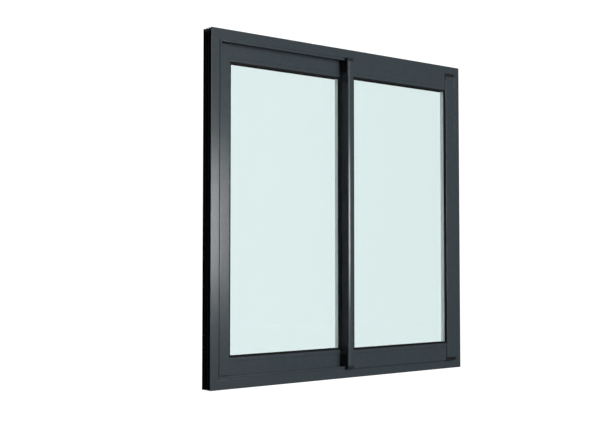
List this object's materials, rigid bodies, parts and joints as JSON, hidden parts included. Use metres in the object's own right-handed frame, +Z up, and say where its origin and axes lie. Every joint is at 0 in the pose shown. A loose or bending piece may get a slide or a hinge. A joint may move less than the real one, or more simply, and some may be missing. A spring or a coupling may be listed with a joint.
{
  "type": "sliding window",
  "caption": "Square two-sash horizontal sliding window with double glazing, mitred dark frame, track fins, rollers and flush hook locks.",
  "frame": {"origin": "middle of the underside of the closed window, at the middle of its overall depth", "axes": "+X along the sill to the right as seen from outdoors, +Y from outdoors to indoors, +Z up"},
  "size_m": [1.2, 0.076, 1.2],
  "materials": {
    "anthracite_paint": "satin anthracite powder coat on extruded aluminium",
    "clear_glass": "clear float glass with a pale green-blue cast",
    "black_rubber": "matt black EPDM",
    "black_plastic": "fine-grained black nylon",
    "zinc_steel": "zinc-plated steel",
    "mill_aluminium": "mill-finish aluminium",
    "spacer_aluminium": "satin aluminium spacer bar",
    "glazing_sealant": "dark grey glazing sealant",
    "brush_pile": "dense black polypropylene pile"
  },
  "bodies": {
    "frame": {"frame_head": "anthracite_paint", "frame_sill": "anthracite_paint", "frame_jamb_left": "anthracite_paint", "frame_jamb_right": "anthracite_paint", "frame_corner_cleats": "mill_aluminium", "jamb_seals": "black_rubber", "bump_stops": "black_rubber", "lock_keepers": "zinc_steel", "keeper_screws": "zinc_steel", "centre_seal_blocks": "black_plastic", "sill_track_strips": "anthracite_paint", "head_track_strips": "anthracite_paint", "jamb_strips_left": "anthracite_paint", "jamb_strips_right": "anthracite_paint"},
    "near_sash": {"near_top_rail": "anthracite_paint", "near_bottom_rail": "anthracite_paint", "near_lock_stile": "anthracite_paint", "near_meeting_stile": "anthracite_paint", "near_assembly_screws": "zinc_steel", "near_glass_outer": "clear_glass", "near_glass_inner": "clear_glass", "near_spacer": "spacer_aluminium", "near_edge_sealant": "glazing_sealant", "near_front_gasket": "black_rubber", "near_rear_gasket": "black_rubber", "near_setting_blocks": "black_plastic", "near_end_caps": "black_plastic", "near_side_seal_blocks": "black_plastic", "near_interlock": "black_plastic", "near_brush_seals": "brush_pile", "near_roller_carriages": "black_plastic", "near_roller_axles": "zinc_steel", "near_lock_case": "black_plastic"},
    "near_roller_inner_body": {"near_roller_inner": "black_plastic"},
    "near_roller_outer_body": {"near_roller_outer": "black_plastic"},
    "near_lock_slider_body": {"near_lock_slider": "black_plastic"},
    "near_lock_hook_body": {"near_lock_hook": "zinc_steel"},
    "far_sash": {"far_top_rail": "anthracite_paint", "far_bottom_rail": "anthracite_paint", "far_lock_stile": "anthracite_paint", "far_meeting_stile": "anthracite_paint", "far_assembly_screws": "zinc_steel", "far_glass_outer": "clear_glass", "far_glass_inner": "clear_glass", "far_spacer": "spacer_aluminium", "far_edge_sealant": "glazing_sealant", "far_front_gasket": "black_rubber", "far_rear_gasket": "black_rubber", "far_setting_blocks": "black_plastic", "far_end_caps": "black_plastic", "far_side_seal_blocks": "black_plastic", "far_interlock": "black_plastic", "far_brush_seals": "brush_pile", "far_roller_carriages": "black_plastic", "far_roller_axles": "zinc_steel", "far_lock_case": "black_plastic"},
    "far_roller_inner_body": {"far_roller_inner": "black_plastic"},
    "far_roller_outer_body": {"far_roller_outer": "black_plastic"},
    "far_lock_slider_body": {"far_lock_slider": "black_plastic"},
    "far_lock_hook_body": {"far_lock_hook": "zinc_steel"}
  },
  "joints": [
    {"name": "near_slide", "type": "slide", "parent": "frame", "child": "near_sash", "axis": [-1, 0, 0], "range_m": [0, 0.52]},
    {"name": "near_roller_inner_spin", "type": "hinge", "parent": "near_sash", "child": "near_roller_inner_body", "pos_m": [0.095, -0.0205, 0.0529], "axis": [0, 1, 0], "continuous": true},
    {"name": "near_roller_outer_spin", "type": "hinge", "parent": "near_sash", "child": "near_roller_outer_body", "pos_m": [0.44, -0.0205, 0.0529], "axis": [0, 1, 0], "continuous": true},
    {"name": "near_lock_slider_travel", "type": "slide", "parent": "near_sash", "child": "near_lock_slider_body", "axis": [0, 0, 1], "range_m": [0, 0.012]},
    {"name": "near_lock_hook_turn", "type": "hinge", "parent": "near_sash", "child": "near_lock_hook_body", "pos_m": [0.541, -0.015, 0.56], "axis": [0, 1, 0], "range_deg": [0, 85]},
    {"name": "far_slide", "type": "slide", "parent": "frame", "child": "far_sash", "axis": [1, 0, 0], "range_m": [0, 0.52]},
    {"name": "far_roller_inner_spin", "type": "hinge", "parent": "far_sash", "child": "far_roller_inner_body", "pos_m": [-0.095, 0.0205, 0.0529], "axis": [0, 1, 0], "continuous": true},
    {"name": "far_roller_outer_spin", "type": "hinge", "parent": "far_sash", "child": "far_roller_outer_body", "pos_m": [-0.44, 0.0205, 0.0529], "axis": [0, 1, 0], "continuous": true},
    {"name": "far_lock_slider_travel", "type": "slide", "parent": "far_sash", "child": "far_lock_slider_body", "axis": [0, 0, 1], "range_m": [0, 0.012]},
    {"name": "far_lock_hook_turn", "type": "hinge", "parent": "far_sash", "child": "far_lock_hook_body", "pos_m": [-0.541, 0.015, 0.56], "axis": [0, -1, 0], "range_deg": [0, 85]}
  ],
  "couplings": [
    {"joint": "near_roller_inner_spin", "follows": "near_slide", "rad_per_m": -100},
    {"joint": "near_roller_outer_spin", "follows": "near_slide", "rad_per_m": -100},
    {"joint": "near_lock_hook_turn", "follows": "near_lock_slider_travel", "rad_per_m": 123.6},
    {"joint": "far_roller_inner_spin", "follows": "far_slide", "rad_per_m": 100},
    {"joint": "far_roller_outer_spin", "follows": "far_slide", "rad_per_m": 100},
    {"joint": "far_lock_hook_turn", "follows": "far_lock_slider_travel", "rad_per_m": 123.6}
  ]
}
